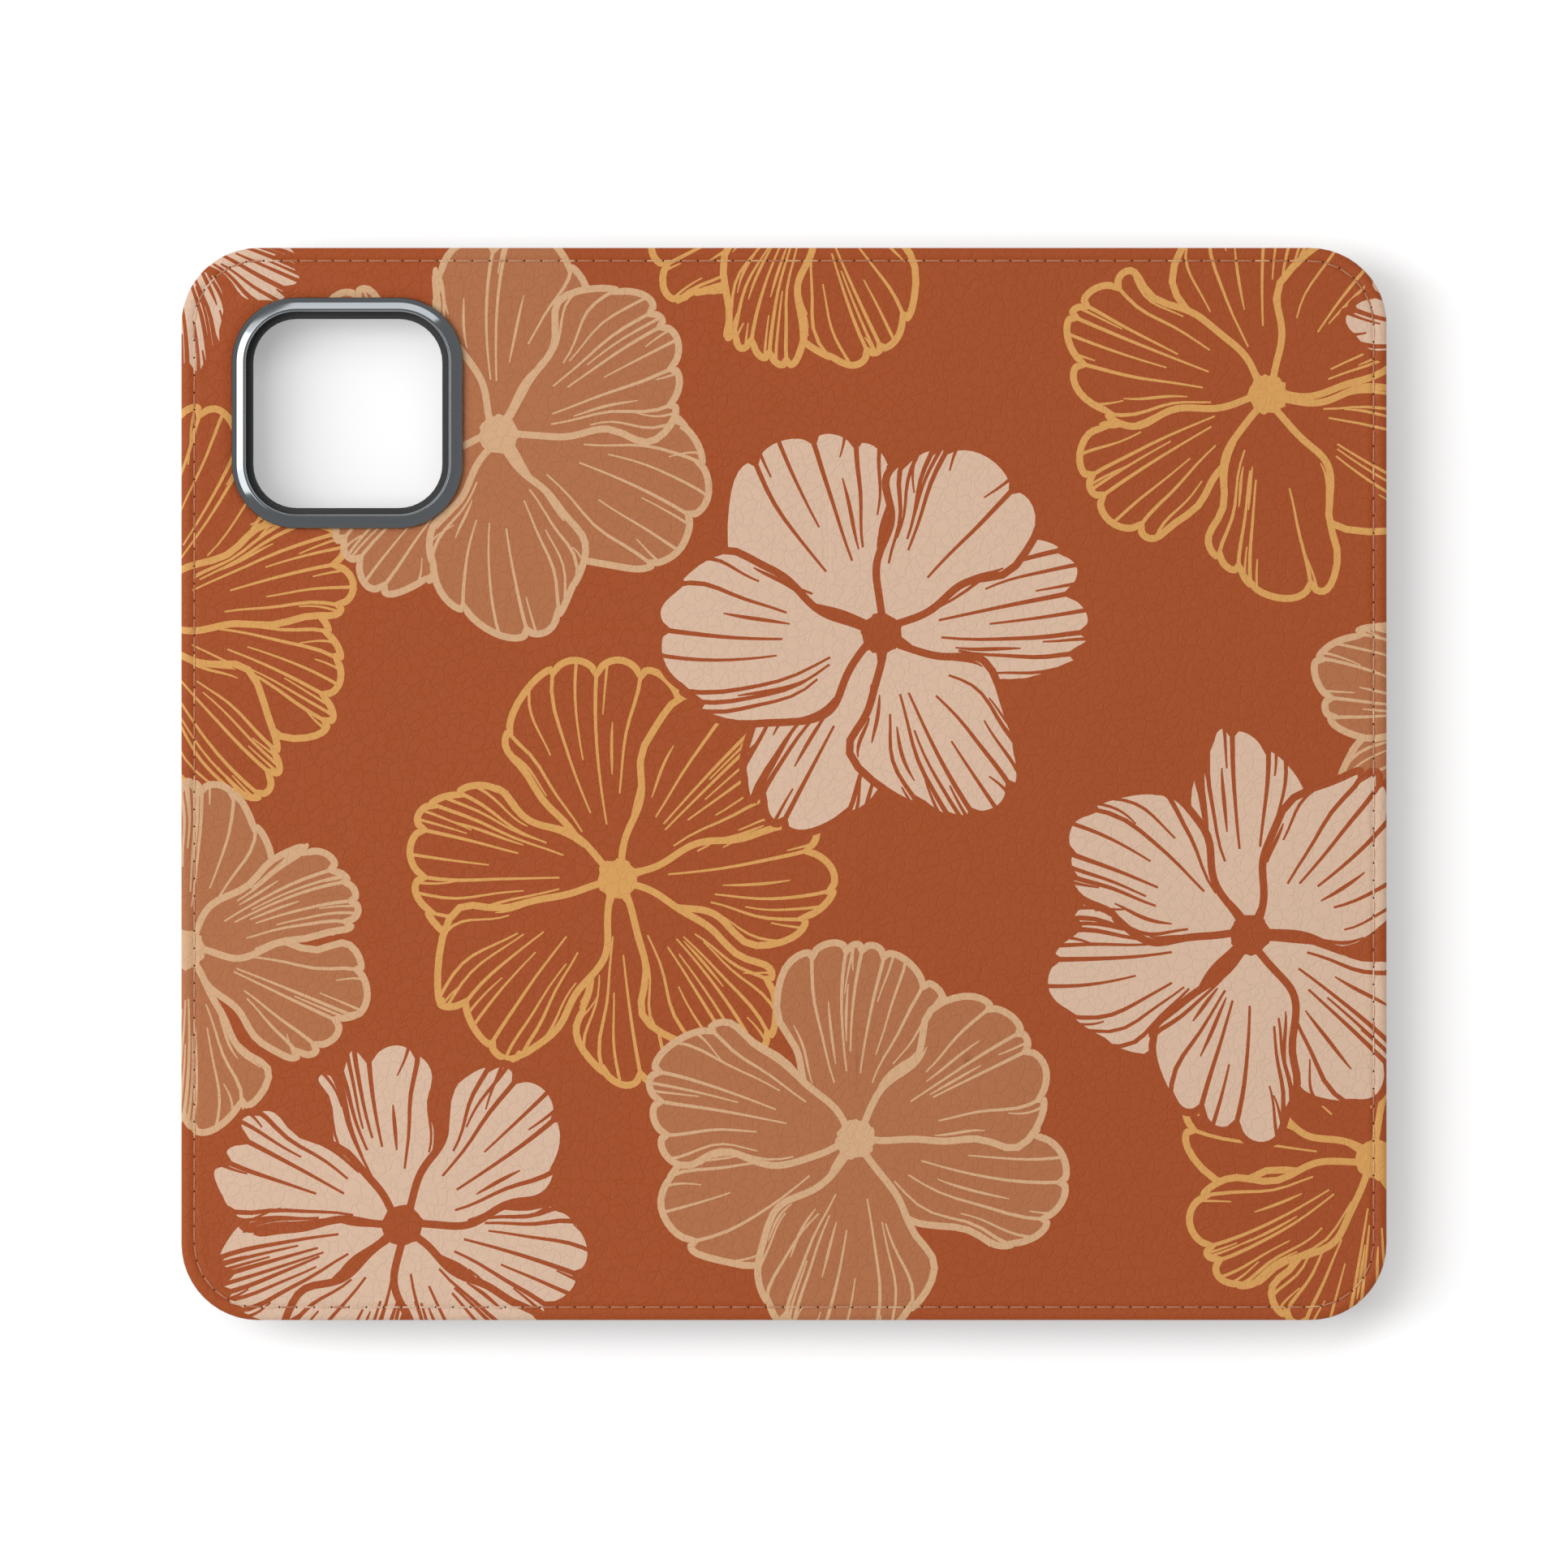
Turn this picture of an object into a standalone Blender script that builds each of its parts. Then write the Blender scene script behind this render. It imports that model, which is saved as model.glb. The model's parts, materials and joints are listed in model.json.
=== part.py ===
"""Wallet-style flip case for a 6.1-inch phone, lying open with its printed outer side up.

Metres, +Z up. X runs across the open case, from the back panel (-X) over the spine to the
front cover (+X); Y runs along the phone, with the camera end at +Y. The lip of the cradle
rests at z = 0, and the origin is under the middle of the open case.

Three bodies fold like a book: the back panel holds the cradle, the spine turns on the first
fold line, and the front cover turns on the second. The soft crease of leather between two
panels is left open here, so that each solid panel clears its neighbour through the fold.
"""

import math

import bmesh
import bpy

# The phone that the case is cut for
PHONE_WIDTH = 0.0715
PHONE_LENGTH = 0.1467
PHONE_DEPTH = 0.0077
PHONE_CORNER = 0.0105
PHONE_CLEARANCE = 0.0001

# The open case in plan
CASE_WIDTH = 0.1732
CASE_LENGTH = 0.1541
CASE_CORNER = 0.0110
SPINE_PITCH = 0.0168  # from one fold line to the other
CREASE_HALF = 0.0017  # solid panels stop this far from a fold line
CORNER_STEPS = 10

# The layers, from the lip of the cradle up
LIP_THICKNESS = 0.0009
LIP_REACH = 0.00085
SHELL_WALL = 0.0017
SHELL_BASE = 0.0015
LAYER_GAP = 0.00015
ADHESIVE_THICKNESS = 0.0003
ADHESIVE_INSET = 0.0050  # from the walls of the cradle's cavity
LINING_THICKNESS = 0.0005
BOARD_THICKNESS = 0.0009
SKIN_THICKNESS = 0.0009
BOARD_INSET = 0.0011  # the skin turns down over the edge of the board and the lining

SHELL_FLOOR = LIP_THICKNESS + PHONE_DEPTH
SHELL_TOP = SHELL_FLOOR + SHELL_BASE
ADHESIVE_Z = SHELL_TOP + LAYER_GAP
LINING_Z = ADHESIVE_Z + ADHESIVE_THICKNESS + LAYER_GAP
BOARD_Z = LINING_Z + LINING_THICKNESS + LAYER_GAP
SKIN_Z = BOARD_Z + BOARD_THICKNESS + LAYER_GAP
SKIN_TOP = SKIN_Z + SKIN_THICKNESS

# The fold lines
FOLD_X = SPINE_PITCH / 2
FOLD_Z = (LINING_Z + SKIN_TOP) / 2
PANEL_EDGE = CASE_WIDTH / 2
PANEL_START = FOLD_X + CREASE_HALF
SPINE_EDGE = FOLD_X - CREASE_HALF
HALF_LENGTH = CASE_LENGTH / 2

# The cradle and the window for the camera
CRADLE_X = -(PANEL_EDGE + PANEL_START) / 2
CAVITY_HALF_X = PHONE_WIDTH / 2 + PHONE_CLEARANCE
CAVITY_HALF_Y = PHONE_LENGTH / 2 + PHONE_CLEARANCE
WINDOW_CENTRE = (-0.06275, 0.0533)
WINDOW_SIDE = 0.0332
WINDOW_CORNER = 0.0093
BEZEL_WIDTH = 0.0021
BEZEL_FLANGE = 0.0009
BEZEL_HEIGHT = 0.0008
BEZEL_CROWN = 0.00022  # step of the rounding across the top of the ring
SLEEVE_GAP = 0.00025
SHELL_LEDGE = 0.0009  # the shell's edge shows this far inside the ring

# Side slots of the cradle: centre along the wall and length
SLOT_LOW = 0.0020
SLOT_HIGH = 0.0074
POWER_SLOT = (0.0262, 0.0160)
VOLUME_SLOT = (0.0300, 0.0390)
PORT_SLOT = (0.0, 0.0500)
CUT_PAST = 0.003

# Magnets of the closure, hidden in the boards near the free edges
MAGNET_X = 0.0790
MAGNET_YS = {"upper": 0.0220, "lower": -0.0420}
MAGNET_RADIUS = 0.0050
MAGNET_HOLE = 0.0053
MAGNET_THICKNESS = 0.0007
ROUND_STEPS = 32

# Pockets inside the cover
POCKET_THICKNESS = 0.00045
SLOT_SHEET = 0.00035
NOTE_POCKET_START = 0.0150
NOTE_POCKET_INSET = 0.0026
CARD_SLOT_STARTS = {"rear": 0.0220, "middle": 0.0340, "front": 0.0460}
CARD_SLOT_END = 0.0825
CARD_SLOT_HALF = 0.0460
POCKET_CORNER = 0.0030

# Sewing
THREAD_RADIUS = 0.0002
THREAD_GAP = 0.00005
STITCH_INSET = 0.00187
POCKET_STITCH_INSET = 0.0015
STEP_RUN = 0.0010

EDGE_ROUND = 0.0005
SHELL_ROUND = 0.0008
ROUND_OVER_STEPS = 3
SHARP_ANGLE = math.radians(35)


def clear_scene():
    for thing in list(bpy.data.objects):
        bpy.data.objects.remove(thing)


def material(name, colour, roughness, metallic=0.0):
    made = bpy.data.materials.new(name)
    made.use_nodes = True
    shader = made.node_tree.nodes["Principled BSDF"]
    shader.inputs["Base Color"].default_value = (*colour, 1.0)
    shader.inputs["Roughness"].default_value = roughness
    shader.inputs["Metallic"].default_value = metallic
    return made


def pivot(name, place, parent=None):
    """An empty on a fold line; what turns about the line is its child."""
    made = bpy.data.objects.new(name, None)
    bpy.context.scene.collection.objects.link(made)
    made.parent = parent
    offset = pivot_place(parent)
    made.location = [place[k] - offset[k] for k in range(3)]
    made["place"] = place
    return made


def pivot_place(body):
    return tuple(body["place"]) if body else (0.0, 0.0, 0.0)


def add_object(name, mesh, body, look):
    """Links an object whose mesh is in world metres, and hangs it on its body's pivot."""
    made = bpy.data.objects.new(name, mesh)
    bpy.context.scene.collection.objects.link(made)
    x, y, z = pivot_place(body)
    made.parent = body
    if made.type == "MESH":
        for vertex in mesh.vertices:
            vertex.co.x -= x
            vertex.co.y -= y
            vertex.co.z -= z
    if look:
        mesh.materials.append(look)
    return made


def rounded_outline(x0, x1, y0, y1, radii):
    """A rectangle's points, anticlockwise, with the radii of its corners from the lower left."""
    corners = ((x0, y0, 180), (x1, y0, 270), (x1, y1, 0), (x0, y1, 90))
    points = []
    for (x, y, start), radius in zip(corners, radii):
        if not radius:
            points.append((x, y))
            continue
        centre_x = x + radius if x == x0 else x - radius
        centre_y = y + radius if y == y0 else y - radius
        for step in range(CORNER_STEPS + 1):
            angle = math.radians(start + 90 * step / CORNER_STEPS)
            points.append((centre_x + radius * math.cos(angle), centre_y + radius * math.sin(angle)))
    return points


def rounded_box(centre, half_x, half_y, radius):
    x, y = centre
    return rounded_outline(x - half_x, x + half_x, y - half_y, y + half_y, (radius,) * 4)


def circle(x, y, radius):
    turns = [2 * math.pi * k / ROUND_STEPS for k in range(ROUND_STEPS)]
    return [(x + radius * math.cos(a), y + radius * math.sin(a)) for a in turns]


def ring_mesh(name, rings, closed):
    """Joins rings of equal length face to face; open ends are capped, a closed loop has none."""
    shape = bmesh.new()
    made = [[shape.verts.new(point) for point in ring] for ring in rings]
    pairs = list(zip(made, made[1:]))
    if closed:
        pairs.append((made[-1], made[0]))
    else:
        shape.faces.new(reversed(made[0]))
        shape.faces.new(made[-1])
    for lower, upper in pairs:
        for k in range(len(lower)):
            after = (k + 1) % len(lower)
            shape.faces.new((lower[k], lower[after], upper[after], upper[k]))
    mesh = bpy.data.meshes.new(name)
    shape.to_mesh(mesh)
    shape.free()
    mesh.shade_smooth()
    mesh.set_sharp_from_angle(angle=SHARP_ANGLE)
    return mesh


def prism(name, outline, low, high, body=None, look=None, along="Z"):
    """An outline pushed from low to high along an axis; outlines along X are (y, z), along Y (z, x)."""
    order = {
        "Z": lambda u, v, w: (u, v, w),
        "X": lambda u, v, w: (w, u, v),
        "Y": lambda u, v, w: (v, w, u),
    }[along]
    rings = [[order(u, v, w) for u, v in outline] for w in (low, high)]
    return add_object(name, ring_mesh(name, rings, closed=False), body, look)


def round_over(piece, width):
    bevel = piece.modifiers.new("round_over", "BEVEL")
    bevel.width = width
    bevel.segments = ROUND_OVER_STEPS
    bevel.limit_method = "ANGLE"
    bevel.angle_limit = SHARP_ANGLE


def cut(piece, cutter):
    cutter.hide_render = True
    cutter.display_type = "WIRE"
    boolean = piece.modifiers.new(cutter.name, "BOOLEAN")
    boolean.operation = "DIFFERENCE"
    boolean.solver = "EXACT"
    boolean.object = cutter


def panel_outline(side, inset=0.0, past_fold=0.0):
    """The plan of the back panel (side -1) or the cover (side +1), square where it folds."""
    start = side * (PANEL_START - past_fold)
    end = side * (PANEL_EDGE - inset)
    half = HALF_LENGTH - inset
    radius = CASE_CORNER - inset
    radii = (radius, 0, 0, radius) if side < 0 else (0, radius, radius, 0)
    return rounded_outline(min(start, end), max(start, end), -half, half, radii)


def spine_outline(inset=0.0, past_fold=0.0):
    edge = SPINE_EDGE + past_fold
    half = HALF_LENGTH - inset
    return rounded_outline(-edge, edge, -half, half, (0, 0, 0, 0))


def cut_window(piece):
    """The opening in a layer for the sleeve of the bezel."""
    inset = BEZEL_FLANGE - SLEEVE_GAP
    half = WINDOW_SIDE / 2 - inset
    outline = rounded_box(WINDOW_CENTRE, half, half, WINDOW_CORNER - inset)
    cut(piece, prism(piece.name + "_window_cut", outline, LINING_Z - CUT_PAST, SKIN_TOP + CUT_PAST))


def skin(name, outline, hollow, body, look):
    """The printed leather, turned down over the edge of the layers beneath it."""
    piece = prism(name, outline, LINING_Z, SKIN_TOP, body, look)
    round_over(piece, EDGE_ROUND)
    cut(piece, prism(name + "_hollow", hollow, LINING_Z - CUT_PAST, SKIN_Z, body))
    return piece


def panel_layers(prefix, outline, body, looks):
    """The board and the lining under one stretch of the skin."""
    board_top, lining_top = BOARD_Z + BOARD_THICKNESS, LINING_Z + LINING_THICKNESS
    board = prism(prefix + "_board", outline, BOARD_Z, board_top, body, looks["board"])
    lining = prism(prefix + "_lining", outline, LINING_Z, lining_top, body, looks["lining"])
    return board, lining


def magnet_pair(board, prefix, side, body, look):
    """Two discs, each in a round hole of the board, with a little air above and below."""
    centre_z = BOARD_Z + BOARD_THICKNESS / 2
    for place, y in MAGNET_YS.items():
        name = f"{prefix}_{place}"
        hole = circle(side * MAGNET_X, y, MAGNET_HOLE)
        cut(board, prism(name + "_hole", hole, BOARD_Z - CUT_PAST, SKIN_TOP + CUT_PAST, body))
        disc = circle(side * MAGNET_X, y, MAGNET_RADIUS)
        low = centre_z - MAGNET_THICKNESS / 2
        prism(name, disc, low, low + MAGNET_THICKNESS, body, look)


def thread(name, points, body, look):
    """A seam's thread, as one continuous tube along its route."""
    curve = bpy.data.curves.new(name, "CURVE")
    curve.dimensions = "3D"
    curve.bevel_depth = THREAD_RADIUS
    curve.bevel_resolution = 1
    curve.use_fill_caps = True
    spline = curve.splines.new("POLY")
    spline.points.add(len(points) - 1)
    x, y, z = pivot_place(body)
    for point, (px, py, pz) in zip(spline.points, points):
        point.co = (px - x, py - y, pz - z, 1.0)
    return add_object(name, curve, body, look)


def panel_thread(name, side, body, look):
    """The seam along the three free edges of a panel."""
    outline = panel_outline(side, STITCH_INSET)
    if side < 0:
        outline = outline[CORNER_STEPS + 2 :] + outline[: CORNER_STEPS + 2]
    height = SKIN_TOP + THREAD_GAP + THREAD_RADIUS
    thread(name, [(x, y, height) for x, y in outline], body, look)


def cradle_shell(look):
    """The moulded tray that the phone snaps into, mouth down, with its wall slots."""
    outer_x = CAVITY_HALF_X + SHELL_WALL
    outer_y = CAVITY_HALF_Y + SHELL_WALL
    centre = (CRADLE_X, 0.0)
    outer = rounded_box(centre, outer_x, outer_y, PHONE_CORNER + SHELL_WALL)
    shell = prism("cradle_shell", outer, 0.0, SHELL_TOP, None, look)
    round_over(shell, SHELL_ROUND)
    cavity = rounded_box(centre, CAVITY_HALF_X, CAVITY_HALF_Y, PHONE_CORNER)
    cut(shell, prism("shell_cavity", cavity, LIP_THICKNESS, SHELL_FLOOR))
    mouth = rounded_box(
        centre, CAVITY_HALF_X - LIP_REACH, CAVITY_HALF_Y - LIP_REACH, PHONE_CORNER - LIP_REACH
    )
    cut(shell, prism("shell_mouth", mouth, -CUT_PAST, LIP_THICKNESS + PHONE_DEPTH / 2))
    ledge = BEZEL_WIDTH + SHELL_LEDGE
    hole_half = WINDOW_SIDE / 2 - ledge
    hole = rounded_box(WINDOW_CENTRE, hole_half, hole_half, WINDOW_CORNER - ledge)
    cut(shell, prism("shell_camera_hole", hole, SHELL_FLOOR - CUT_PAST, SHELL_TOP + CUT_PAST))
    cut_slots(shell, outer_x, outer_y)


def cut_slots(shell, outer_x, outer_y):
    """Round-ended slots through three of the walls."""
    radius = (SLOT_HIGH - SLOT_LOW) / 2
    for name, side, (middle, length) in (("power", -1, POWER_SLOT), ("volume", 1, VOLUME_SLOT)):
        outline = rounded_outline(
            middle - length / 2, middle + length / 2, SLOT_LOW, SLOT_HIGH, (radius,) * 4
        )
        wall = CRADLE_X + side * (outer_x - SHELL_WALL / 2)
        low, high = wall - CUT_PAST, wall + CUT_PAST
        cut(shell, prism(f"shell_{name}_slot", outline, low, high, along="X"))
    middle, length = PORT_SLOT
    start = CRADLE_X + middle - length / 2
    outline = rounded_outline(SLOT_LOW, SLOT_HIGH, start, start + length, (radius,) * 4)
    wall = -(outer_y - SHELL_WALL / 2)
    cut(shell, prism("shell_port_slot", outline, wall - CUT_PAST, wall + CUT_PAST, along="Y"))


def camera_bezel(look):
    """The glossy ring round the camera window: a flange on the leather and a sleeve through it."""
    flange_z = SKIN_TOP + LAYER_GAP
    top = flange_z + BEZEL_HEIGHT
    crown = BEZEL_CROWN
    profile = (  # inset from the outer edge, height
        (BEZEL_WIDTH, ADHESIVE_Z),
        (BEZEL_FLANGE, ADHESIVE_Z),
        (BEZEL_FLANGE, flange_z),
        (0.0, flange_z),
        (0.0, top - 2 * crown),
        (crown, top - crown / 2),
        (2 * crown, top),
        (4 * crown, top),
        (6 * crown, top - crown),
        (BEZEL_WIDTH - crown, top - 4 * crown),
        (BEZEL_WIDTH, top - 6 * crown),
    )
    rings = []
    for inset, z in profile:
        half = WINDOW_SIDE / 2 - inset
        outline = rounded_box(WINDOW_CENTRE, half, half, WINDOW_CORNER - inset)
        rings.append([(x, y, z) for x, y in outline])
    add_object("camera_bezel", ring_mesh("camera_bezel", rings, closed=True), None, look)


def back_panel(looks):
    leather = skin("back_skin", panel_outline(-1), hollow_outline(-1), None, looks["leather"])
    board, lining = panel_layers("back", panel_outline(-1, BOARD_INSET), None, looks)
    glue_x, glue_y = CAVITY_HALF_X - ADHESIVE_INSET, CAVITY_HALF_Y - ADHESIVE_INSET
    glue = rounded_box((CRADLE_X, 0.0), glue_x, glue_y, PHONE_CORNER - ADHESIVE_INSET)
    glue_top = ADHESIVE_Z + ADHESIVE_THICKNESS
    adhesive = prism("shell_adhesive", glue, ADHESIVE_Z, glue_top, None, looks["glue"])
    for layer in (leather, board, lining, adhesive):
        cut_window(layer)
    magnet_pair(board, "closure_keeper", -1, None, looks["steel"])
    panel_thread("back_thread", -1, None, looks["thread"])
    cradle_shell(looks["shell"])
    camera_bezel(looks["bezel"])


def hollow_outline(side):
    """The space under the turned-down skin, open at the fold."""
    inset = SKIN_THICKNESS
    return panel_outline(side, inset, past_fold=CREASE_HALF / 2)


def spine(body, looks):
    hollow = spine_outline(SKIN_THICKNESS, CREASE_HALF / 2)
    skin("spine_skin", spine_outline(), hollow, body, looks["leather"])
    panel_layers("spine", spine_outline(BOARD_INSET), body, looks)
    height = SKIN_TOP + THREAD_GAP + THREAD_RADIUS
    for name, side in (("top", 1), ("bottom", -1)):
        y = side * (HALF_LENGTH - STITCH_INSET)
        ends = ((-SPINE_EDGE, y, height), (SPINE_EDGE, y, height))
        thread(f"spine_thread_{name}", ends, body, looks["thread"])


def pocket_heights():
    """Underside of each pocket sheet, from the lining down."""
    note = LINING_Z - LAYER_GAP - POCKET_THICKNESS
    heights = {"note": note}
    for place in CARD_SLOT_STARTS:
        note -= LAYER_GAP + SLOT_SHEET
        heights[place] = note
    return heights


def pockets(body, looks):
    """A pocket for notes, and three card slots that open towards the spine."""
    heights = pocket_heights()
    half = HALF_LENGTH - NOTE_POCKET_INSET
    end = PANEL_EDGE - NOTE_POCKET_INSET
    corner = CASE_CORNER - NOTE_POCKET_INSET
    radii = (POCKET_CORNER, corner, corner, POCKET_CORNER)
    note = rounded_outline(NOTE_POCKET_START, end, -half, half, radii)
    low = heights["note"]
    prism("note_pocket", note, low, low + POCKET_THICKNESS, body, looks["pocket"])
    half = CARD_SLOT_HALF
    for place, start in CARD_SLOT_STARTS.items():
        sheet = rounded_outline(start, CARD_SLOT_END, -half, half, (POCKET_CORNER,) * 4)
        low = heights[place]
        prism(f"card_slot_{place}", sheet, low, low + SLOT_SHEET, body, looks["pocket"])
    pocket_thread(heights, body, looks["thread"])


def pocket_thread(heights, body, look):
    """One seam down an end of the card slots, along their closed side and up the other end."""
    drop = THREAD_GAP + THREAD_RADIUS
    y = CARD_SLOT_HALF - POCKET_STITCH_INSET
    places = list(CARD_SLOT_STARTS)
    end_run = []
    for place, after in zip(places, places[1:] + [None]):
        end_run.append((CARD_SLOT_STARTS[place] + STEP_RUN, heights[place] - drop))
        if after:
            end_run.append((CARD_SLOT_STARTS[after] - STEP_RUN, heights[after] - drop))
    closed_x = CARD_SLOT_END - POCKET_STITCH_INSET
    end_run.append((closed_x, heights["front"] - drop))
    down = [(x, y, z) for x, z in end_run]
    up = [(x, -y, z) for x, z in reversed(end_run)]
    thread("pocket_thread", down + up, body, look)


def cover(body, looks):
    skin("cover_skin", panel_outline(1), hollow_outline(1), body, looks["leather"])
    board, _ = panel_layers("cover", panel_outline(1, BOARD_INSET), body, looks)
    magnet_pair(board, "cover_magnet", 1, body, looks["steel"])
    panel_thread("cover_thread", 1, body, looks["thread"])
    pockets(body, looks)


def main():
    clear_scene()
    looks = {
        "leather": material("printed_leather", (0.37, 0.09, 0.03), 0.55),
        "board": material("pressed_board", (0.45, 0.38, 0.28), 0.9),
        "lining": material("dark_lining", (0.03, 0.025, 0.022), 0.8),
        "pocket": material("pocket_leather", (0.04, 0.03, 0.027), 0.6),
        "glue": material("adhesive_film", (0.8, 0.8, 0.76), 0.4),
        "shell": material("cradle_plastic", (0.012, 0.012, 0.014), 0.45),
        "bezel": material("glossy_bezel", (0.07, 0.07, 0.08), 0.15),
        "steel": material("nickel_plate", (0.6, 0.6, 0.6), 0.35, 1.0),
        "thread": material("seam_thread", (0.42, 0.14, 0.05), 0.6),
    }
    spine_axis = pivot("spine_fold_line", (-FOLD_X, 0.0, FOLD_Z))
    cover_axis = pivot("cover_fold_line", (FOLD_X, 0.0, FOLD_Z), spine_axis)
    back_panel(looks)
    spine(spine_axis, looks)
    cover(cover_axis, looks)


main()
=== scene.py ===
"""Looks of the open wallet case: printed crackle leather, real stitches, lining, pockets, cradle.

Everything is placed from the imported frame, in metres. The print is worked out in millimetres
on the plan of the open case, triangulated with the leather's edge roll, stitch groove and fold
lines in it, and then raised to its height, so that each ink is a region of one mesh.
"""

import math
import random

import bmesh
import bpy
import numpy as np
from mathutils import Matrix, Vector, noise
from mathutils.geometry import delaunay_2d_cdt
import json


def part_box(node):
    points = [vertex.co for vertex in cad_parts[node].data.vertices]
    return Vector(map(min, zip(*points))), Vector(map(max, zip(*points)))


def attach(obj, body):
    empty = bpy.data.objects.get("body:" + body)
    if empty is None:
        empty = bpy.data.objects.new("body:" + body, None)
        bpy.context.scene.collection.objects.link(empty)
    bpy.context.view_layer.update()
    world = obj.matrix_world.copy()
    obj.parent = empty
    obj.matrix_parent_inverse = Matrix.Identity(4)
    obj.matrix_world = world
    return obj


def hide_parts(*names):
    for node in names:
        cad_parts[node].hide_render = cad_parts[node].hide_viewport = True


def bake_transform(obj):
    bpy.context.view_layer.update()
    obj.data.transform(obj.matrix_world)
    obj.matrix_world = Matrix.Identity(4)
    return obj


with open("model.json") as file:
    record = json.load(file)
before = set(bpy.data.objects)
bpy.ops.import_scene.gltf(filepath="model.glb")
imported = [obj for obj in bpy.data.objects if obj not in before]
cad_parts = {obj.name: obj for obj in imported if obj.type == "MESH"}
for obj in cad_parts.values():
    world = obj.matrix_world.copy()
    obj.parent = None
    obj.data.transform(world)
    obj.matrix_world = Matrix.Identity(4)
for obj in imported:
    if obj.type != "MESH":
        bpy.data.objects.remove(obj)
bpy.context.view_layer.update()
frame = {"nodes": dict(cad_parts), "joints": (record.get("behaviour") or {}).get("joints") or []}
random.seed(11)

MM = 0.001

# Places read from the frame, in millimetres
back_low, back_high = (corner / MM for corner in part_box("back_skin"))
cover_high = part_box("cover_skin")[1] / MM
bezel_low, bezel_high = (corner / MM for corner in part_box("camera_bezel"))
folds = {joint["name"]: Vector(joint["pos_m"]) / MM for joint in frame["joints"]}

HALF_X = cover_high.x
HALF_Y = cover_high.y
SKIN_TOP = back_high.z
SKIN_BOTTOM = back_low.z
FOLD_LINES = (folds["spine_fold"].x, folds["cover_fold"].x)
WINDOW = ((bezel_low.x + bezel_high.x) / 2, (bezel_low.y + bezel_high.y) / 2)
WINDOW_HALF = (bezel_high.x - bezel_low.x) / 2

CASE_CORNER = 11.0
WINDOW_CORNER = 9.3
HOLE_INSET = 0.6  # the leather's opening lies this far under the bezel's flange
HOLE_HALF = WINDOW_HALF - HOLE_INSET
BEZEL_NECK = 3.2  # from the bezel's foot up to its flange
CREASE = 1.9  # each side of a fold line, the leather between two bodies
CREASE_LINES = 16
STITCH_INSET = 1.87
STITCH_PITCH = 2.5
STITCH_HOLE = 0.16  # radius of each needle hole's dark disc of painted shade
SEAM_THREAD = 0.13  # radius
POCKET_CORNER = 3.0
POCKET_THREAD = 0.15  # radius
POCKET_PITCH = 2.2
POCKET_STITCH_INSET = 1.5

# Inks of the print, in sRGB, with the needle holes' painted shade last
INKS = {
    "rust": (168, 79, 35),
    "cream": (223, 189, 163),
    "tan": (181, 113, 73),
    "beige": (216, 173, 132),
    "ochre": (220, 162, 91),
    # painted shade: the needle holes are flat dark discs in this ink, not pits
    "hole": (52, 24, 14),
}
INK_NAMES = list(INKS)
THREAD_TINT = (238, 205, 175)
THREAD_SHARE = 0.35

# How each kind of flower is drawn: outline ink, petal ink, centre ink, outline and vein widths
STYLES = {
    "cut_out": ("rust", "cream", "rust", 1.10, 0.78),
    "filled": ("beige", "tan", "beige", 1.00, 0.55),
    "drawn": ("ochre", "rust", "ochre", 1.00, 0.58),
}

# The flower bed: kind, middle, reach, and the way each petal points, in degrees
FLOWERS = (
    ("drawn", (3.9, 86.0), 27, (208, 244, 292, 8)),
    ("drawn", (69.5, 56.0), 30, (97, 162, 209, 270, 320, 42)),
    ("drawn", (-24.0, -13.5), 31, (103, 48, -2, -48, -83, 222, 172)),
    ("drawn", (-93.5, 23.5), 32, (54, 20, -14, -58, -95)),
    ("drawn", (85.0, -54.0), 29, (165, 213, 258, 120, 60, -20)),
    ("filled", (-41.0, 50.3), 30, (94, 30, -20, -91, 218, 155)),
    ("filled", (-86.0, -23.8), 26, (75, 28, -22, -86, -130)),
    ("filled", (10.3, -51.0), 30.5, (95, 29, -19, -90, 211, 162)),
    ("filled", (101.0, 9.0), 26, (98, 161, 213, 260)),
    ("cut_out", (-89.5, 81.0), 23, (25, -22, -72, -125)),
    ("cut_out", (103.0, 66.0), 21, (120, 178, 235)),
    ("cut_out", (14.0, 21.7), 31, (8, 59, 122, 191, 244, 298)),
    ("cut_out", (-54.8, -63.4), 28, (103, 37, -14, -66, 196, 155, 245)),
    ("cut_out", (67.0, -21.7), 30, (91, 147, 198, 264, -41, 35)),
)
CORE = 2.2
CORE_RADIUS = 2.75
CORE_STEPS = 44
SIDE_STEPS = 22
LOBE_STEPS = 12
VEIN_STEPS = 9


# ---------------------------------------------------------------- small helpers


def linear(colour):
    """An sRGB colour in 0 to 255 as a linear one with alpha."""
    scaled = [value / 255 for value in colour]
    curve = [v / 12.92 if v <= 0.04045 else ((v + 0.055) / 1.055) ** 2.4 for v in scaled]
    return (*curve, 1.0)


def mixed(first, second, share):
    return tuple(a + (b - a) * share for a, b in zip(first, second))


def smooth(value):
    value = min(1.0, max(0.0, value))
    return value * value * (3 - 2 * value)


def rounded_loop(half_x, half_y, radius, centre=(0.0, 0.0), step=2.5, corner_steps=12):
    """A rounded rectangle's points, anticlockwise from its right side, a step apart."""
    points = []
    for turn, (sx, sy) in enumerate(((1, 1), (-1, 1), (-1, -1), (1, -1))):
        cx, cy = centre[0] + sx * (half_x - radius), centre[1] + sy * (half_y - radius)
        for k in range(corner_steps + 1):
            angle = math.radians(90 * turn + 90 * k / corner_steps)
            points.append((cx + radius * math.cos(angle), cy + radius * math.sin(angle)))
    return resampled(points, step)


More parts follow.
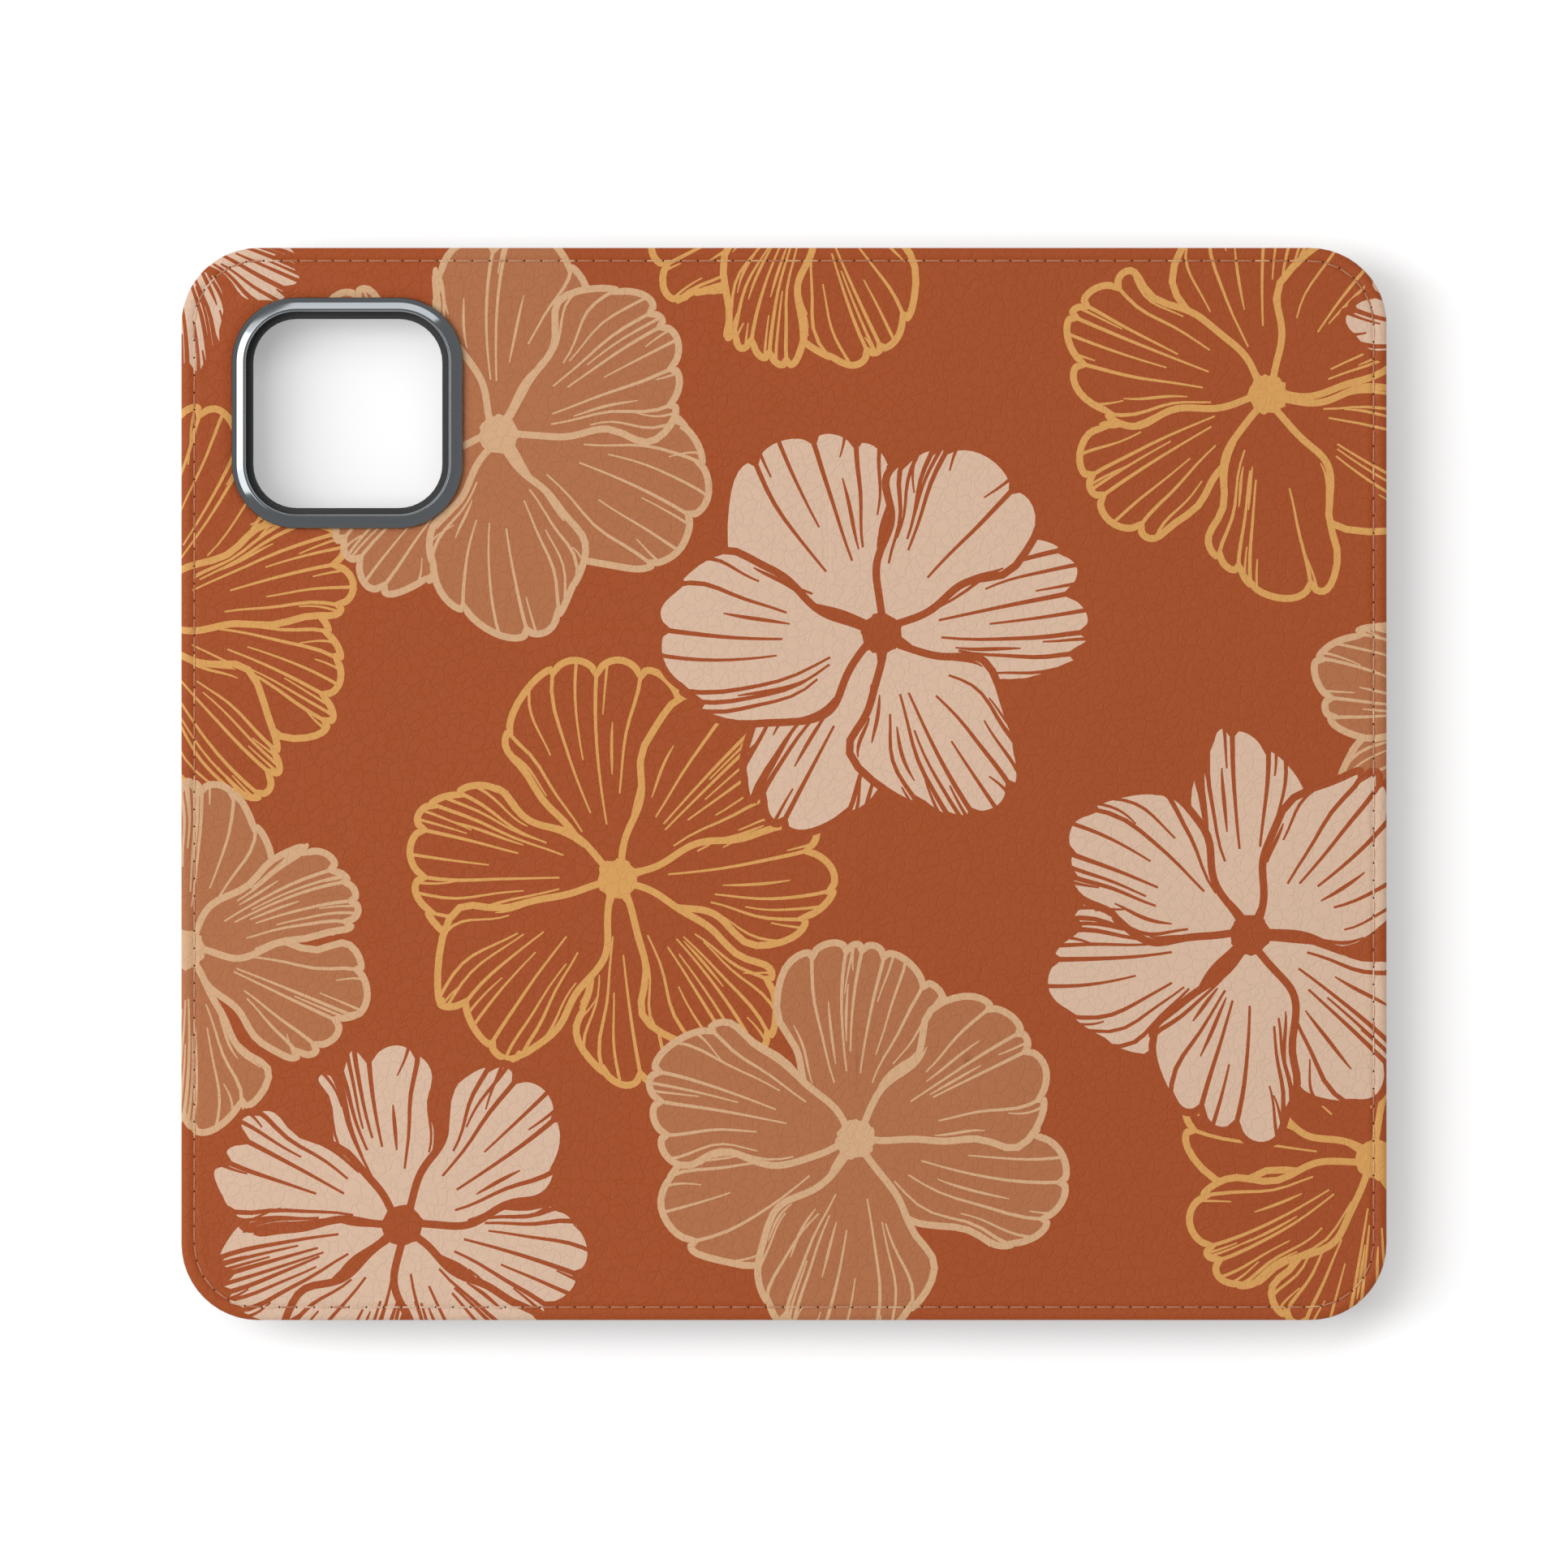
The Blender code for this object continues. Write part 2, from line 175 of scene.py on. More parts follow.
def resampled(loop, step):
    """The loop with points added along sides that are longer than a step."""
    made = []
    for here, after in zip(loop, loop[1:] + loop[:1]):
        length = math.dist(here, after)
        pieces = max(1, round(length / step))
        made += [mixed(here, after, k / pieces) for k in range(pieces)]
    return made


def edge_distance(x, y):
    """How far a point of the plan lies inside the case's outline."""
    qx, qy = abs(x) - (HALF_X - CASE_CORNER), abs(y) - (HALF_Y - CASE_CORNER)
    outside = math.hypot(max(qx, 0.0), max(qy, 0.0))
    return CASE_CORNER - outside - min(max(qx, qy), 0.0)


def inward(x, y):
    """The way into the case from a point near its outline."""
    qx, qy = abs(x) - (HALF_X - CASE_CORNER), abs(y) - (HALF_Y - CASE_CORNER)
    if qx > 0 and qy > 0:
        length = math.hypot(qx, qy)
        return -math.copysign(qx / length, x), -math.copysign(qy / length, y)
    return (-math.copysign(1, x), 0.0) if qx > qy else (0.0, -math.copysign(1, y))


def window_distance(x, y):
    """How far a point lies outside the bezel's outline."""
    straight = WINDOW_HALF - WINDOW_CORNER
    qx, qy = abs(x - WINDOW[0]) - straight, abs(y - WINDOW[1]) - straight
    return math.hypot(max(qx, 0.0), max(qy, 0.0)) + min(max(qx, qy), 0.0) - WINDOW_CORNER


def finish_mesh(name, shape, materials, body=None, bend=None, crisp=None):
    """Turns a bmesh in metres into a piece that rides on a body, or, given a bend, one whose place is
    baked into its points.
    """
    mesh = bpy.data.meshes.new(name)
    shape.to_mesh(mesh)
    shape.free()
    for look in materials:
        mesh.materials.append(look)
    mesh.shade_smooth()
    if crisp:
        mesh.set_sharp_from_angle(angle=math.radians(crisp))
    rest = mesh.attributes.new("rest", "FLOAT_VECTOR", "POINT")
    coords = np.zeros(len(mesh.vertices) * 3, np.float32)
    mesh.vertices.foreach_get("co", coords)
    rest.data.foreach_set("vector", coords)
    piece = bpy.data.objects.new(name, mesh)
    bpy.context.scene.collection.objects.link(piece)
    if bend:
        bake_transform(piece)
    if body:
        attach(piece, body)
    return piece


BENDS = {
    "back": ("back_panel", "spine", FOLD_LINES[0]),
    "cover": ("spine", "cover", FOLD_LINES[1]),
}


# ---------------------------------------------------------------- materials


class Look:
    """A Principled material and short ways to add nodes to it."""

    def __init__(self, name, colour, roughness, **settings):
        self.material = bpy.data.materials.new(name)
        self.material.use_nodes = True
        self.tree = self.material.node_tree
        self.shader = self.tree.nodes["Principled BSDF"]
        self.shader.inputs["Base Color"].default_value = colour
        self.shader.inputs["Roughness"].default_value = roughness
        for key, value in settings.items():
            self.shader.inputs[key.replace("_", " ")].default_value = value
        self.material.diffuse_color = colour

    def node(self, kind, inputs=None, **settings):
        made = self.tree.nodes.new("ShaderNode" + kind)
        for key, value in settings.items():
            setattr(made, key, value)
        for key, value in (inputs or {}).items():
            if isinstance(value, bpy.types.NodeSocket):
                self.tree.links.new(value, made.inputs[key])
            else:
                made.inputs[key].default_value = value
        return made

    def place(self):
        """The point's place at rest, in metres, so that a pattern stays put as a piece bends."""
        return self.node("Attribute", attribute_name="rest").outputs["Vector"]

    def noise(self, place, scale, detail=3.0, roughness=0.5, distortion=0.0):
        inputs = {"Vector": place, "Scale": scale, "Detail": detail}
        inputs.update({"Roughness": roughness, "Distortion": distortion})
        return self.node("TexNoise", inputs).outputs["Fac"]

    def math(self, operation, first, second=0.5, third=0.5):
        made = self.node("Math", {0: first, 1: second, 2: third}, operation=operation)
        return made.outputs[0]

    def remap(self, value, low, high, to_low=0.0, to_high=1.0):
        inputs = {"Value": value, "From Min": low, "From Max": high}
        inputs.update({"To Min": to_low, "To Max": to_high})
        return self.node("MapRange", inputs).outputs["Result"]

    def bump(self, height, distance, strength):
        inputs = {"Height": height, "Distance": distance, "Strength": strength}
        made = self.node("Bump", inputs).outputs["Normal"]
        self.tree.links.new(made, self.shader.inputs["Normal"])

    def tint(self, colour, darker, factor):
        """The base colour, going to a darker one with the factor."""
        made = self.node("Mix", data_type="RGBA")
        self.tree.links.new(factor, made.inputs[0])
        made.inputs[6].default_value = colour
        made.inputs[7].default_value = darker
        self.tree.links.new(made.outputs[2], self.shader.inputs["Base Color"])


def crackle_leather(name, colour):
    """Printed faux leather: a net of fine cracks, soft wrinkles and a little pore noise."""
    base = linear(colour)
    look = Look(name, base, 0.55, Specular_IOR_Level=0.18)
    place = look.place()
    drift = look.node("TexNoise", {"Vector": place, "Scale": 520.0, "Detail": 3.0}).outputs["Color"]
    offset = look.node("VectorMath", {0: drift, 1: (-0.5, -0.5, -0.5)}, operation="ADD").outputs[0]
    bent = look.node("VectorMath", {0: offset, "Scale": 0.0024}, operation="SCALE").outputs[0]
    warped = look.node("VectorMath", {0: place, 1: bent}, operation="ADD").outputs[0]
    grain = {"Vector": warped, "Scale": 560.0, "Randomness": 1.0}
    cells = look.node("TexVoronoi", grain, feature="DISTANCE_TO_EDGE").outputs["Distance"]
    crack = look.remap(cells, 0.0, 0.09)
    wrinkle = look.noise(place, 260.0, detail=3.0, roughness=0.55, distortion=1.6)
    pores = look.noise(place, 2600.0, detail=2.0)
    relief = look.math("MULTIPLY_ADD", crack, 0.6, look.math("MULTIPLY", wrinkle, 1.3))
    relief = look.math("MULTIPLY_ADD", pores, 0.10, relief)
    look.bump(relief, 0.00012, 0.6)
    broad = look.noise(place, 34.0, detail=2.0)
    shade = look.math("MULTIPLY_ADD", broad, 0.35, look.remap(crack, 0.0, 1.0, 0.07, 0.0))
    look.tint(base, (*[value * 0.82 for value in base[:3]], 1.0), shade)
    rough = look.remap(wrinkle, 0.3, 0.7, 0.48, 0.62)
    look.tree.links.new(rough, look.shader.inputs["Roughness"])
    return look.material


def thread_look(name, colour):
    """Twisted polyester: fine slanted ridges."""
    base = linear(colour)
    look = Look(name, base, 0.6, Sheen_Weight=0.25)
    place = look.place()
    twist = look.node(
        "TexWave", {"Vector": place, "Scale": 900.0, "Distortion": 1.0}, bands_direction="DIAGONAL"
    ).outputs["Fac"]
    look.bump(twist, 0.00004, 0.6)
    look.tint(base, (*[value * 0.7 for value in base[:3]], 1.0), look.math("MULTIPLY", twist, 0.4))
    return look.material


def microfibre(name, colour):
    """Brushed microfibre: clumped nap with soft light and dark strokes."""
    base = linear(colour)
    look = Look(name, base, 0.9, Sheen_Weight=0.5, Sheen_Roughness=0.4)
    place = look.place()
    nap = look.noise(place, 3200.0, detail=2.0, distortion=0.8)
    strokes = look.noise(place, 90.0, detail=3.0, distortion=1.2)
    look.bump(look.math("MULTIPLY_ADD", nap, 0.8, strokes), 0.00006, 0.7)
    look.tint(base, (*[value * 0.55 for value in base[:3]], 1.0), look.remap(strokes, 0.35, 0.65))
    return look.material


def fine_leather(name, colour):
    """Plain pocket leather: small even pebbles."""
    base = linear(colour)
    look = Look(name, base, 0.5, Specular_IOR_Level=0.4)
    place = look.place()
    pebble = look.node(
        "TexVoronoi", {"Vector": place, "Scale": 1500.0}, feature="SMOOTH_F1"
    ).outputs["Distance"]
    folds_noise = look.noise(place, 300.0, detail=3.0, distortion=0.6)
    look.bump(look.math("MULTIPLY_ADD", folds_noise, 0.5, pebble), 0.00006, 0.6)
    look.tint(base, (*[value * 0.6 for value in base[:3]], 1.0), look.remap(pebble, 0.2, 0.7))
    return look.material


def moulded(name, colour, roughness, grain, **settings):
    """Moulded plastic with a spark-eroded texture."""
    base = linear(colour)
    look = Look(name, base, roughness, **settings)
    place = look.node("TexCoord").outputs["Object"]
    texture = look.noise(place, 2400.0, detail=2.0)
    look.bump(texture, 0.00003, grain)
    cloud = look.noise(place, 60.0, detail=2.0)
    look.tint(base, (*[value * 0.8 for value in base[:3]], 1.0), look.remap(cloud, 0.3, 0.7))
    return look.material


def metal(name, colour):
    look = Look(name, linear(colour), 0.35, Metallic=1.0)
    place = look.node("TexCoord").outputs["Object"]
    look.bump(look.noise(place, 900.0), 0.00002, 0.5)
    return look.material


# ---------------------------------------------------------------- the print


class Petal:
    """One petal in polar form about the flower's middle, with wavy sides and a lobed tip.

    Across the petal, t runs from -1 at one side to 1 at the other. The tip is a row of
    rounded lobes, and the notches between them are where the long veins start.
    """

    def __init__(self, centre, angle, half, reach):
        self.centre = centre
        self.angle = math.radians(angle)
        self.half = math.radians(half)
        self.reach = reach * random.uniform(0.96, 1.05)
        self.shoulder = random.uniform(0.50, 0.60)
        self.lean = random.uniform(-0.09, 0.09)
        self.curl = random.uniform(-0.14, 0.14)
        widths = [random.uniform(0.25, 1.9) for _ in range(random.choice((5, 6, 6, 7)))]
        sums = np.concatenate(([0.0], np.cumsum(widths)))
        self.notches = [float(share) for share in 2 * sums / sums[-1] - 1]
        self.lobes = [random.uniform(0.0, 0.025) + 0.022 * width for width in widths]
        self.steps = [random.uniform(-0.075, 0.035) for _ in self.notches]
        self.swings = [random.uniform(0.08, 0.15) * random.choice((-1, 1)) for _ in range(2)]
        self.phases = [random.uniform(0, 2 * math.pi) for _ in range(4)]

    def tip_radius(self, t):
        """The radius of the lobed edge across the petal."""
        crown = max(0.0, 1 - abs(t) ** 3.0) ** 0.52
        radius = self.shoulder + (1 - self.shoulder) * crown - 0.03
        radius += float(np.interp(t, self.notches, self.steps))
        for start, end, lobe in zip(self.notches, self.notches[1:], self.lobes):
            if start < t < end:
                bulge = math.sin(math.pi * (t - start) / (end - start)) ** 0.5
                radius += lobe * bulge * (0.35 + 0.65 * crown)
        return self.reach * radius * (1 + self.lean * t)

    def direction(self, radius, t):
        """The angle of a line along the petal; the sides sway and close in as they go out."""
        share = radius / self.reach
        side = 0 if t < 0 else 1
        spread = self.half * t * (1.08 - 0.36 * share * share)
        sway = self.swings[side] * math.sin(6.6 * share + self.phases[side])
        kink = 0.035 * math.sin(16 * share + self.phases[side + 2])
        return self.angle + spread + self.curl * share * share + (sway + kink) * t * t

    def at(self, radius, t):
        angle = self.direction(radius, t)
        return (
            self.centre[0] + radius * math.cos(angle),
            self.centre[1] + radius * math.sin(angle),
        )

    def outline(self):
        """The petal's points, anticlockwise."""
        sides = []
        for t in (-1.0, 1.0):
            end = self.tip_radius(t)
            radii = [CORE + (end - CORE) * k / SIDE_STEPS for k in range(SIDE_STEPS)]
            sides.append([self.at(radius, t) for radius in radii])
        tip = []
        for start, end in zip(self.notches, self.notches[1:]):
            for k in range(LOBE_STEPS):
                t = start + (end - start) * (1 - math.cos(math.pi * k / LOBE_STEPS)) / 2
                tip.append(self.at(self.tip_radius(t), t))
        tip.append(self.at(self.tip_radius(1.0), 1.0))
        return sides[0] + tip + sides[1][::-1]

    def vein(self, t, inner, outer, width, loose=False, bend=0.0):
        """A tapered stroke between two shares of the petal's length."""
        left, right = [], []
        edge = self.tip_radius(t)
        for k in range(VEIN_STEPS):
            share = k / (VEIN_STEPS - 1)
            across = t + bend * (1 - share) ** 1.6
            radius = edge * (inner + (outer - inner) * share)
            x, y = self.at(radius, across)
            angle = self.direction(radius, across)
            taper = math.sin(math.pi * (0.12 + 0.76 * share)) if loose else 0.45 + 0.55 * share
            half = 0.5 * width * taper
            left.append((x - half * math.sin(angle), y + half * math.cos(angle)))
            right.append((x + half * math.sin(angle), y - half * math.cos(angle)))
        return right + left[::-1]

    def strokes(self, width, outer):
        """Long veins from the notches, short ones beside them, and loose ones inside."""
        made = []
        for start, end in zip(self.notches, self.notches[1:]):
            bend = random.uniform(-0.03, 0.03) - start * random.uniform(0.06, 0.24)
            inner = random.uniform(0.26, 0.52)
            if start > -1:
                made.append(self.vein(start, inner, outer, width, bend=bend))
                aside = start + random.choice((-1, 1)) * random.uniform(0.06, 0.10)
                if random.random() < 0.6:
                    short = random.uniform(0.72, 0.88)
                    made.append(self.vein(aside, short, outer, 0.75 * width, bend=bend))
            middle = start + (end - start) * random.uniform(0.40, 0.60)
            if random.random() < 0.55:
                made.append(self.vein(middle, random.uniform(0.42, 0.66), outer, 0.85 * width))
            elif random.random() < 0.6:
                inner = random.uniform(0.34, 0.5)
                end = inner + random.uniform(0.22, 0.36)
                made.append(self.vein(middle, inner, end, 0.75 * width, loose=True))
        for side in (-1, 1):
            t = side * random.uniform(0.86, 0.93)
            inner = random.uniform(0.40, 0.62)
            made.append(self.vein(t, inner, inner + 0.26, 0.75 * width, loose=True))
        return made


def drawn_in(polygon, inset):
    """An anticlockwise polygon moved inwards, without the points that cross over its far side."""
    made = []
    for before, here, after in zip(polygon[-1:] + polygon[:-1], polygon, polygon[1:] + polygon[:1]):
        first = Vector((before[1] - here[1], here[0] - before[0])).normalized()
        second = Vector((here[1] - after[1], after[0] - here[0])).normalized()
        way = first + second
        if way.length < 0.2:
            continue
        way.normalize()
        depth = inset / max(0.65, way.dot(first))
        made.append((here[0] + depth * way.x, here[1] + depth * way.y))
    edge = np.array(resampled(polygon, 0.4))
    within = inside(np.array(made), polygon)
    return [
        place
        for place, held in zip(made, within)
        if held and np.hypot(*(edge - place).T).min() > 0.85 * inset
    ]


def flower_core(centre, radius):
    """The ragged middle of a flower."""
    phase = random.uniform(0, 6)
    points = []
    for k in range(CORE_STEPS):
        angle = 2 * math.pi * k / CORE_STEPS
        ragged = 0.06 * math.sin(5 * angle + phase) + 0.05 * math.sin(11 * angle + 2 * phase)
        size = radius * (1 + ragged + random.uniform(-0.04, 0.04))
        points.append((centre[0] + size * math.cos(angle), centre[1] + size * math.sin(angle)))
    return points


def touches_case(points):
    xs, ys = zip(*points)
    return max(xs) > -HALF_X and min(xs) < HALF_X and max(ys) > -HALF_Y and min(ys) < HALF_Y


def petal_halves(angles):
    """Half the angle that each petal fills, a little more than its share of the gaps beside it."""
    turned = sorted(angle % 360 for angle in angles)
    halves = {}
    for k, angle in enumerate(turned):
        before = (angle - turned[k - 1]) % 360
        after = (turned[(k + 1) % len(turned)] - angle) % 360
        halves[angle] = min(41.0, max(27.0, 2 + 0.30 * (min(before, 72) + min(after, 72))))
    return halves


def draw_flower(kind, centre, reach, angles):
    """The inked shapes of one flower, from the lowest to the top one."""
    line, fill, core, outline_width, vein_width = STYLES[kind]
    halves = petal_halves(angles)
    made = []
    for angle in list(angles[::2]) + list(angles[1::2]):
        petal = Petal(centre, angle, halves[angle % 360], reach)
        edge = petal.outline()
        outer = 1.0 if kind == "cut_out" else 0.985
        shapes = [(line, edge), (fill, drawn_in(edge, outline_width))]
        shapes += [(line, stroke) for stroke in petal.strokes(vein_width, outer)]
        made += [(ink, points) for ink, points in shapes if touches_case(points)]
    blob = flower_core(centre, CORE_RADIUS)
    if touches_case(blob):
        made.append((core, blob))
    return made


def inside(points, polygon):
    """Which of the points, one per row, lie inside the polygon."""
    x, y = points.T
    found = np.zeros(len(points), bool)
    for (x0, y0), (x1, y1) in zip(polygon, polygon[1:] + polygon[:1]):
        if y0 != y1:
            found ^= ((y0 > y) != (y1 > y)) & (x < x0 + (x1 - x0) * (y - y0) / (y1 - y0))
    return found


def inks_at(points, prints):
    """The number of the ink on top at each point."""
    found = np.zeros(len(points), int)
    for ink, polygon in prints:
        low, high = np.min(polygon, axis=0), np.max(polygon, axis=0)
        near = np.flatnonzero(np.all((points > low) & (points < high), axis=1))
        found[near[inside(points[near], polygon)]] = INK_NAMES.index(ink)
    return found


# ---------------------------------------------------------------- relief meshes


def triangulate(outline, hole, prints, loops, lines, points):
    """Triangles of the plan with every outline in them, and the number of the ink on each."""
    coords, edges = [], []
    closed = [outline, *loops] + [polygon for _, polygon in prints]
    if hole:
        closed.append(hole)
    for loop in closed:
        ids = range(len(coords), len(coords) + len(loop))
        edges += zip(ids, [*ids[1:], ids[0]])
        coords += loop
    for line in lines:
        ids = range(len(coords), len(coords) + len(line))
        edges += zip(ids, ids[1:])
        coords += line
    coords += points
    made = delaunay_2d_cdt([Vector(place) for place in coords], edges, [], 0, 1e-4, False)
    corners = np.array([tuple(corner) for corner in made[0]])
    triangles = np.array([list(triangle) for triangle in made[2]])
    middles = corners[triangles].mean(axis=1)
    kept = inside(middles, outline)
    if hole:
        kept &= ~inside(middles, hole)
    return corners, triangles[kept], inks_at(middles[kept], prints)


def raise_relief(corners, triangles, inks, height, side=0):
    """A bmesh of one side's triangles, in metres, each corner at its height, facing up."""
    shape = bmesh.new()
    made = {}
    for triangle, ink in zip(triangles.tolist(), inks.tolist()):
        if side * sum(corners[k][0] for k in triangle) < 0:
            continue
        for k in triangle:
            if k not in made:
                x, y = corners[k]
                made[k] = shape.verts.new((x * MM, y * MM, height(x, y) * MM))
        shape.faces.new([made[k] for k in triangle]).material_index = ink
    shape.normal_update()
    if sum(face.normal.z for face in shape.faces) < 0:
        bmesh.ops.reverse_faces(shape, faces=shape.faces[:])
    return shape


def turn_down(shape, chosen, steps):
    """Extrudes boundary edges through (inset, height) steps; the inset is towards the case."""
    edges = [edge for edge in shape.edges if edge.is_boundary and chosen(edge)]
    inks = {edge: edge.link_faces[0].material_index for edge in edges}
    for inset, height in steps:
        made = bmesh.ops.extrude_edge_only(shape, edges=edges)["geom"]
        fresh = [item for item in made if isinstance(item, bmesh.types.BMEdge) and item.is_boundary]
        for face in (item for item in made if isinstance(item, bmesh.types.BMFace)):
            old = [edge for edge in face.edges if edge in inks]
            if old:
                face.material_index = inks[old[0]]
        for vert in {vert for edge in fresh for vert in edge.verts}:
            x, y = vert.co.x / MM, vert.co.y / MM
            ix, iy = inward(x, y)
            vert.co = Vector((x + ix * inset, y + iy * inset, height)) * MM
        edges = fresh
        inks = {edge: edge.link_faces[0].material_index for edge in edges}
    bmesh.ops.recalc_face_normals(shape, faces=shape.faces[:])
    return shape


def on_middle(edge):
    """Whether an edge lies where the two halves of the skin meet."""
    return all(abs(vert.co.x) < 1e-7 for vert in edge.verts)


def near_window(edge):
    """Whether an edge belongs to the camera opening's rim."""
    x, y = edge.verts[0].co.x / MM, edge.verts[0].co.y / MM
    return abs(window_distance(x, y)) < 2.0


def skin_height(x, y):
    """The leather's top: a rolled edge, stitch groove, soft dip at the bezel, and slight waves."""
    distance = edge_distance(x, y)
    height = SKIN_TOP - 0.10
    roll = 0.62
    if distance < roll:
        height -= roll - math.sqrt(max(0.0, roll**2 - (roll - distance) ** 2))
    height += 0.07 * math.exp(-(((distance - 1.0) / 0.35) ** 2))
    height -= 0.15 * math.exp(-(((distance - STITCH_INSET) / 0.30) ** 2))
    height += 0.04 * math.exp(-(((distance - 2.7) / 0.45) ** 2))
    gap = window_distance(x, y)
    height -= 0.16 * math.exp(-((max(gap, 0.0) / 0.7) ** 2))
    calm = smooth((distance - 2.0) / 6.0)
    height += 0.05 * calm * noise.noise(Vector((x / 19, y / 19, 3.1)))
    return height


def stitch_path():
    """Points along the seam, one per hole."""
    sides = (HALF_X - STITCH_INSET, HALF_Y - STITCH_INSET)
    fine = rounded_loop(*sides, CASE_CORNER - STITCH_INSET, step=0.05, corner_steps=300)
    closed = fine + fine[:1]
    lengths = [0.0]
    for here, after in zip(closed, closed[1:]):
        lengths.append(lengths[-1] + math.dist(here, after))
    count = round(lengths[-1] / STITCH_PITCH)
    places = np.interp(np.arange(count) * lengths[-1] / count, lengths, range(len(closed)))
    return [closed[int(place)] for place in places]


def skin_lines():
    """Straight lines along the leather where it bends, and where its two halves meet."""
    xs = [0.0]
    for fold in FOLD_LINES:
        xs += [fold + CREASE * (2 * k / CREASE_LINES - 1) for k in range(CREASE_LINES + 1)]
    return [[(x, -HALF_Y - 1), (x, HALF_Y + 1)] for x in xs]


def inner_points(spacing, margin):
    """A loose grid of points over the case, clear of its edge and of the window."""
    xs = np.arange(-HALF_X + margin, HALF_X - margin, spacing)
    ys = np.arange(-HALF_Y + margin, HALF_Y - margin, spacing)
    return [
        (x + 0.13 * math.sin(y), y + 0.17 * math.cos(x))
        for x in xs
        for y in ys
        if window_distance(x, y) > 2.5
    ]


def printed_skin(prints, hole_shades, looks):
    """The outer leather, in two halves that meet along the middle of the spine."""
    outline = rounded_loop(HALF_X, HALF_Y, CASE_CORNER)
    depths = (0.05, 0.16, 0.33, 0.60, 0.85, 1.15, 1.5, 1.7, 1.87, 2.04, 2.25, 2.6, 3.0, 3.6)
    loops = [rounded_loop(HALF_X - d, HALF_Y - d, CASE_CORNER - d) for d in depths]
    hole = rounded_loop(HOLE_HALF, HOLE_HALF, WINDOW_CORNER - HOLE_INSET, WINDOW)
    for step in (0.0, 0.35, 0.8, 1.4, 2.2):
        half = WINDOW_HALF + step
        loops.append(rounded_loop(half, half, WINDOW_CORNER + step, WINDOW))
    # the needle holes go into the leather as flat discs of painted shade in the dark hole ink
    shapes = prints + [("hole", circle) for circle in hole_shades]
    plan = triangulate(outline, hole, shapes, loops, skin_lines(), inner_points(4.0, 5.0))
    turned = ((0.0, 0.35), (0.10, 0.10), (0.45, 0.0), (0.75, 0.05))  # inset, height over the inner face
    steps = [(inset, SKIN_BOTTOM + over) for inset, over in turned]
    nodes = {"back": ("back_skin", "spine_skin"), "cover": ("cover_skin",)}
    for side, sign in (("back", -1), ("cover", 1)):
        shape = raise_relief(*plan, skin_height, sign)
        turn_down(shape, near_window, ((0.0, SKIN_TOP - 0.9),))
        turn_down(shape, lambda edge: not on_middle(edge) and not near_window(edge), steps)
        piece = finish_mesh(f"printed_skin_{side}", shape, looks, bend=BENDS[side])
        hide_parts(*nodes[side])


def hole_shade_discs(path):
    """A small polygon of painted shade for the needle's hole at each end of a stitch."""
    turns = [2 * math.pi * k / 7 for k in range(7)]
    ring = [(STITCH_HOLE * math.cos(turn), STITCH_HOLE * math.sin(turn)) for turn in turns]
    return [[(x + dx, y + dy) for dx, dy in ring] for x, y in path]


def stitch_mesh(shape, start, end, level, side, radius, slot):
    """One stitch: a thread that comes out of a hole, swells, and goes down the next."""
    rings, sides = 7, 6
    run = Vector((end[0] - start[0], end[1] - start[1], 0))
    across = Vector((-run.y, run.x, 0)).normalized()
    up = Vector((0, 0, side))
    made = []
    for k in range(rings):
        share = k / (rings - 1)
        swell = math.sin(math.pi * share) ** 0.5 if 0 < share < 1 else 0.0
        centre = Vector((start[0], start[1], 0)) + run * (0.04 + 0.92 * share)
        centre.z = level + side * (0.17 * swell - 0.17)
        size = radius * (0.72 + 0.28 * swell)
        ring = []
        for s in range(sides):
            angle = 2 * math.pi * s / sides
            way = math.cos(angle) * across + math.sin(angle) * up
            ring.append(shape.verts.new((centre + size * way) * MM))
        made.append(ring)
    faces = [shape.faces.new(reversed(made[0])), shape.faces.new(made[-1])]
    for lower, upper in zip(made, made[1:]):
        for s in range(sides):
            after = (s + 1) % sides
            faces.append(shape.faces.new((lower[s], lower[after], upper[after], upper[s])))
    for face in faces:
        face.material_index = slot


def seams(path, prints, thread_looks, dark_thread):
    """The stitches of the outer seam, above and below, in two halves, one each side of the middle."""
    runs = list(zip(path, path[1:] + path[:1]))
    middles = [mixed(start, end, 0.5) for start, end in runs]
    inks = inks_at(np.array(middles), prints)
    nodes = {
        "back": ("back_thread", "spine_thread_bottom"),
        "cover": ("cover_thread", "spine_thread_top"),
    }
    for side, sign in (("back", -1), ("cover", 1)):
        outer, inner = bmesh.new(), bmesh.new()
        for (start, end), middle, ink in zip(runs, middles, inks.tolist()):
            if middle[0] * sign <= 0:
                continue
            level = skin_height(*middle) + 0.10
            stitch_mesh(outer, start, end, level, 1, SEAM_THREAD, ink)
            stitch_mesh(inner, start, end, SKIN_BOTTOM + 0.12, -1, SEAM_THREAD, 0)
        for shape in (outer, inner):
            bmesh.ops.recalc_face_normals(shape, faces=shape.faces[:])
        piece = finish_mesh(f"outer_stitches_{side}", outer, thread_looks, bend=BENDS[side])
        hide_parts(*nodes[side])
        piece = finish_mesh(f"inner_stitches_{side}", inner, [dark_thread], bend=BENDS[side])


# ---------------------------------------------------------------- inside of the case


